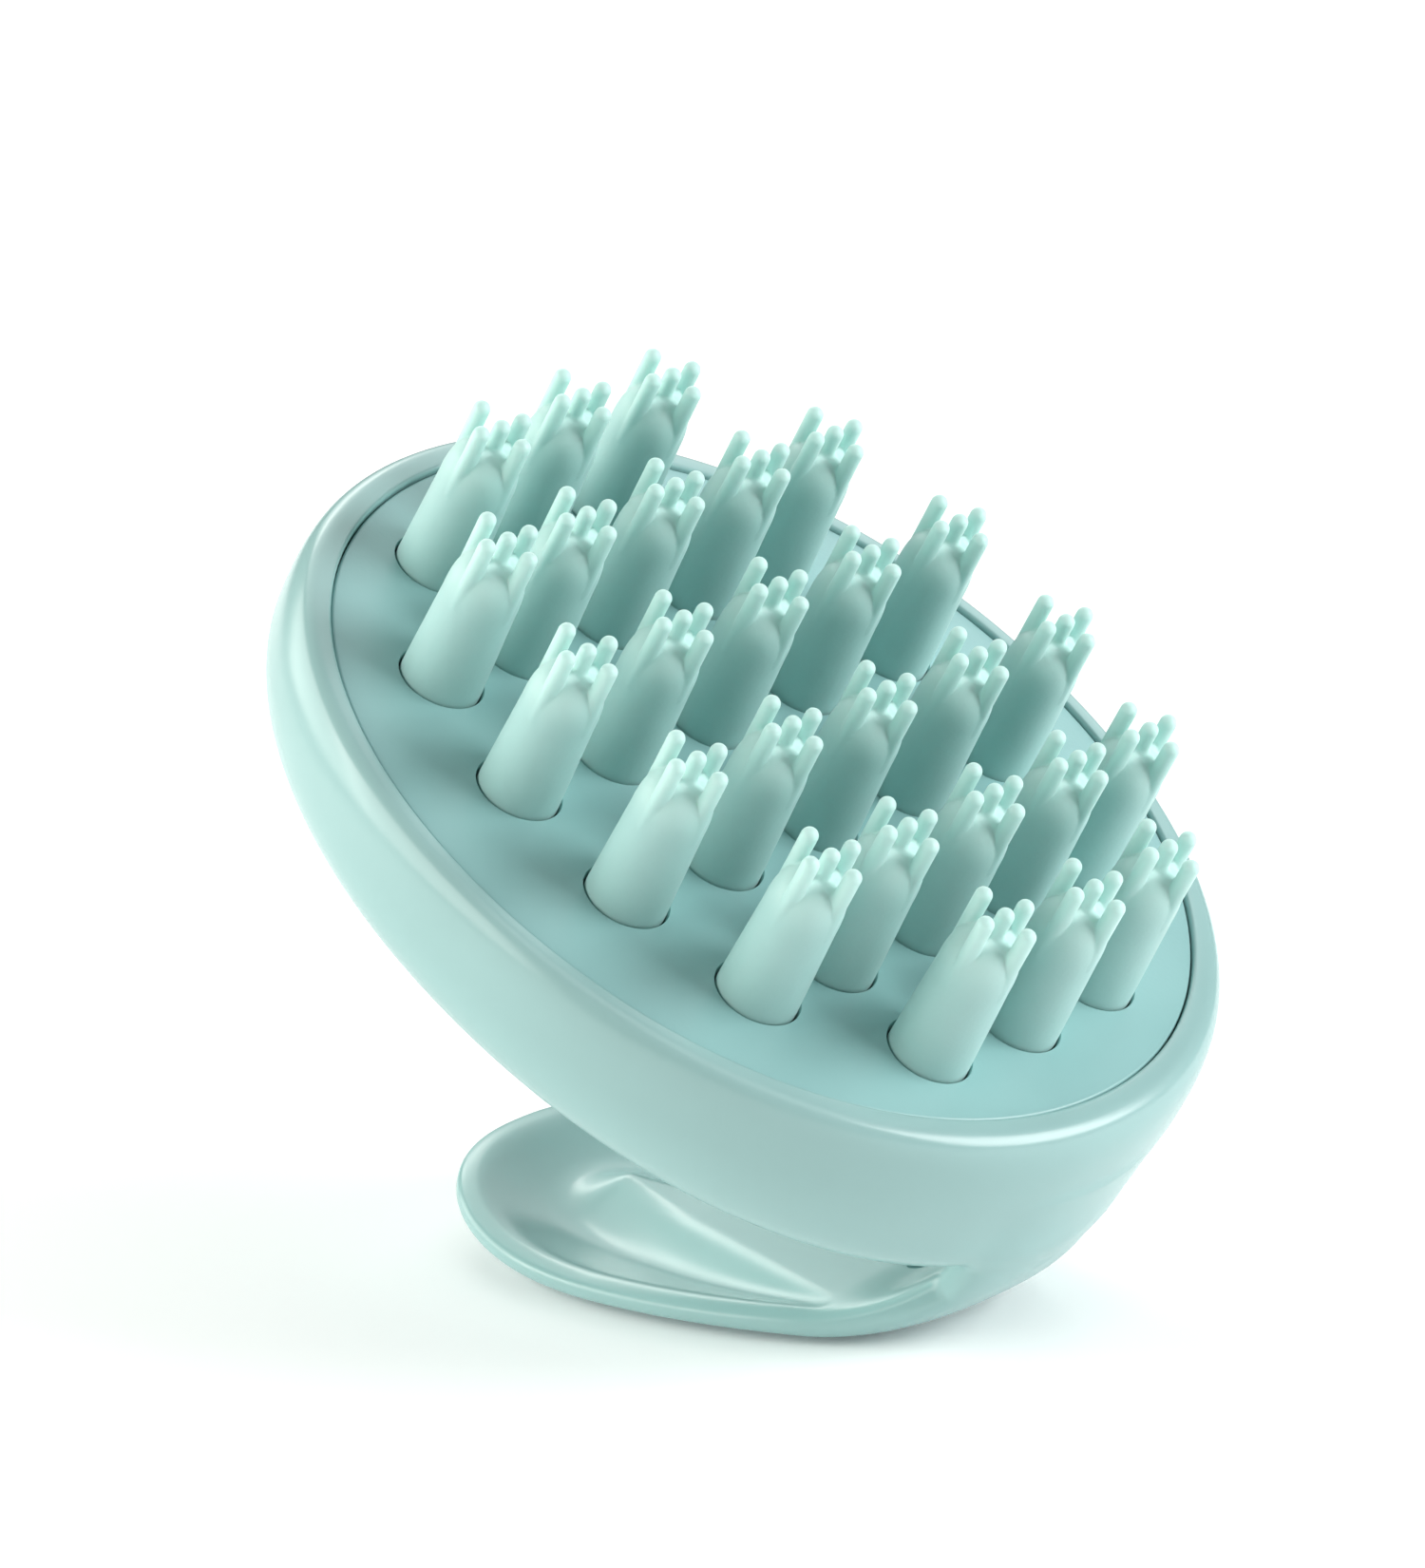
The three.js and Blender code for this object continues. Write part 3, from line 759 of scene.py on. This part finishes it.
def plate_material():
    color = (0.285, 0.515, 0.51)
    material, shader = new_material("satin_plate", color, 0.34)
    tree = material.node_tree
    tree.links.new(add_noise(material, 120, 3, 0.3, 0.38), shader.inputs["Roughness"])
    add_tint(material, shader, shaded(color, 0.97), shaded(color, 1.03), add_noise(material, 60, 2, 0, 1))
    add_bump(material, shader, add_noise(material, 2500, 2, 0, 1), 0.00002, 0.2)
    return material


def silicone_material():
    color = (0.43, 0.69, 0.665)
    material, shader = new_material(
        "soft_silicone", color, 0.5, Subsurface_Weight=0.18, Subsurface_Scale=0.002,
        Subsurface_Radius=(0.6, 1.0, 0.9), Sheen_Weight=0.15, Sheen_Roughness=0.4,
    )
    tree = material.node_tree
    tree.links.new(add_noise(material, 300, 3, 0.44, 0.56), shader.inputs["Roughness"])
    # Painted light: a darker trunk and lighter tips along the bristle's height, standing in for light
    # shining through the thin prongs.
    painted_light_share = add_height(material, BRISTLE_PAINTED_LIGHT_FROM_Z, BRISTLE_PAINTED_LIGHT_FULL_Z)
    add_tint(material, shader, shaded(color, 0.87), (0.53, 0.78, 0.735), painted_light_share)
    add_bump(material, shader, add_noise(material, 1800, 3, 0, 1), 0.00003, 0.3)
    return material


def inner_material():
    color = (0.74, 0.79, 0.79)
    material, shader = new_material("inner_plastic", color, 0.5)
    tree = material.node_tree
    tree.links.new(add_noise(material, 200, 3, 0.45, 0.6), shader.inputs["Roughness"])
    add_bump(material, shader, add_noise(material, 1500, 3, 0, 1), 0.00004, 0.4)
    return material


def screw_material():
    color = (0.55, 0.56, 0.58)
    material, shader = new_material("zinc_steel", color, 0.3, Metallic=1.0)
    tree = material.node_tree
    tree.links.new(add_noise(material, 900, 3, 0.24, 0.42), shader.inputs["Roughness"])
    add_bump(material, shader, add_noise(material, 2500, 2, 0, 1), 0.00003, 0.4)
    return material


def dress_inner_nodes(silicone):
    """The sealed inner pieces keep their CAD shapes and get finished materials."""
    inner, steel = inner_material(), screw_material()
    for name, node in frame["nodes"].items():
        if name == "bristle_pad":
            material = silicone
        elif name == "backing_plate":
            material = inner
        elif name.startswith("screw_"):
            material = steel
        else:
            continue
        node.data.materials.clear()
        node.data.materials.append(material)


# ---------------------------------------------------------------- stage

CAMERA_AZIMUTH = math.radians(40.89)
CAMERA_ELEVATION = math.radians(17.39)
CAMERA_ROLL = math.radians(-1.625)
CAMERA_FROM_FACE = Vector((0.35844, -0.42051, 0.17193))
CAMERA_LENS = 156.8
FLOOR_HALF = 6.0
FLOOR_GLOW = 0.08           # the floor is a faintly lit light table
WORLD_STRENGTH = 0.03
LIGHT_DISTANCE = 0.8
LIGHT_AIM = Vector((0, 0, 0.04))
WARM = (1.0, 1.0, 0.95)
COOL = (0.92, 0.97, 1.0)


def add_camera():
    data = bpy.data.cameras.new("camera")
    data.lens = CAMERA_LENS
    data.clip_start, data.clip_end = 0.01, 50
    camera = bpy.data.objects.new("camera", data)
    bpy.context.scene.collection.objects.link(camera)
    camera.location = HEAD_ORIGIN + CAMERA_FROM_FACE
    turn = Matrix.Rotation(CAMERA_AZIMUTH, 4, "Z") @ Matrix.Rotation(math.pi / 2 - CAMERA_ELEVATION, 4, "X")
    camera.rotation_euler = (turn @ Matrix.Rotation(CAMERA_ROLL, 4, "Z")).to_euler()
    bpy.context.scene.camera = camera


def add_area_light(name, azimuth, elevation, size, power, color=(1, 1, 1)):
    """A soft light that faces the object; azimuth is counted as for the camera."""
    data = bpy.data.lights.new(name, "AREA")
    data.shape = "RECTANGLE"
    data.size, data.size_y = size
    data.energy = power
    data.color = color
    light = bpy.data.objects.new(name, data)
    bpy.context.scene.collection.objects.link(light)
    a, e = math.radians(azimuth), math.radians(elevation)
    way = Vector((math.sin(a) * math.cos(e), -math.cos(a) * math.cos(e), math.sin(e)))
    light.location = LIGHT_AIM + way * LIGHT_DISTANCE
    light.rotation_euler = way.to_track_quat("Z", "Y").to_euler()


def add_floor():
    color = (0.93, 0.93, 0.93)
    material, _ = new_material(
        "pale_floor", color, 0.8, Emission_Color=(*COOL, 1), Emission_Strength=FLOOR_GLOW
    )
    corners = ((-1, -1), (1, -1), (1, 1), (-1, 1))
    verts = [(x * FLOOR_HALF, y * FLOOR_HALF, 0) for x, y in corners]
    floor = new_object("floor", verts, [(0, 1, 2, 3)])
    floor.data.materials.append(material)


def add_world():
    world = bpy.data.worlds.new("studio")
    world.use_nodes = True
    background = world.node_tree.nodes["Background"]
    background.inputs["Color"].default_value = (1.0, 1.0, 1.0, 1)
    background.inputs["Strength"].default_value = WORLD_STRENGTH
    bpy.context.scene.world = world


def build_stage():
    add_world()
    add_floor()
    add_camera()
    add_area_light("left", 335, 22, (0.8, 0.55), 5.3, WARM)
    add_area_light("left_back", 290, 22, (0.7, 0.55), 3.9, WARM)
    add_area_light("back", 215, 40, (0.9, 0.7), 3.0)
    add_area_light("back_low", 234, 33, (0.3, 0.16), 0.55, WARM)
    add_area_light("right", 122, 25, (0.6, 0.4), 7.0)
    add_area_light("right_top", 95, 62, (0.5, 0.5), 0.9)
    scene = bpy.context.scene
    scene.view_settings.view_transform = "Standard"
    scene.view_settings.look = "None"


build_stage()
silicone = silicone_material()
build_shell(shell_material())
build_face_plate(plate_material())
build_bristles(silicone)
dress_inner_nodes(silicone)
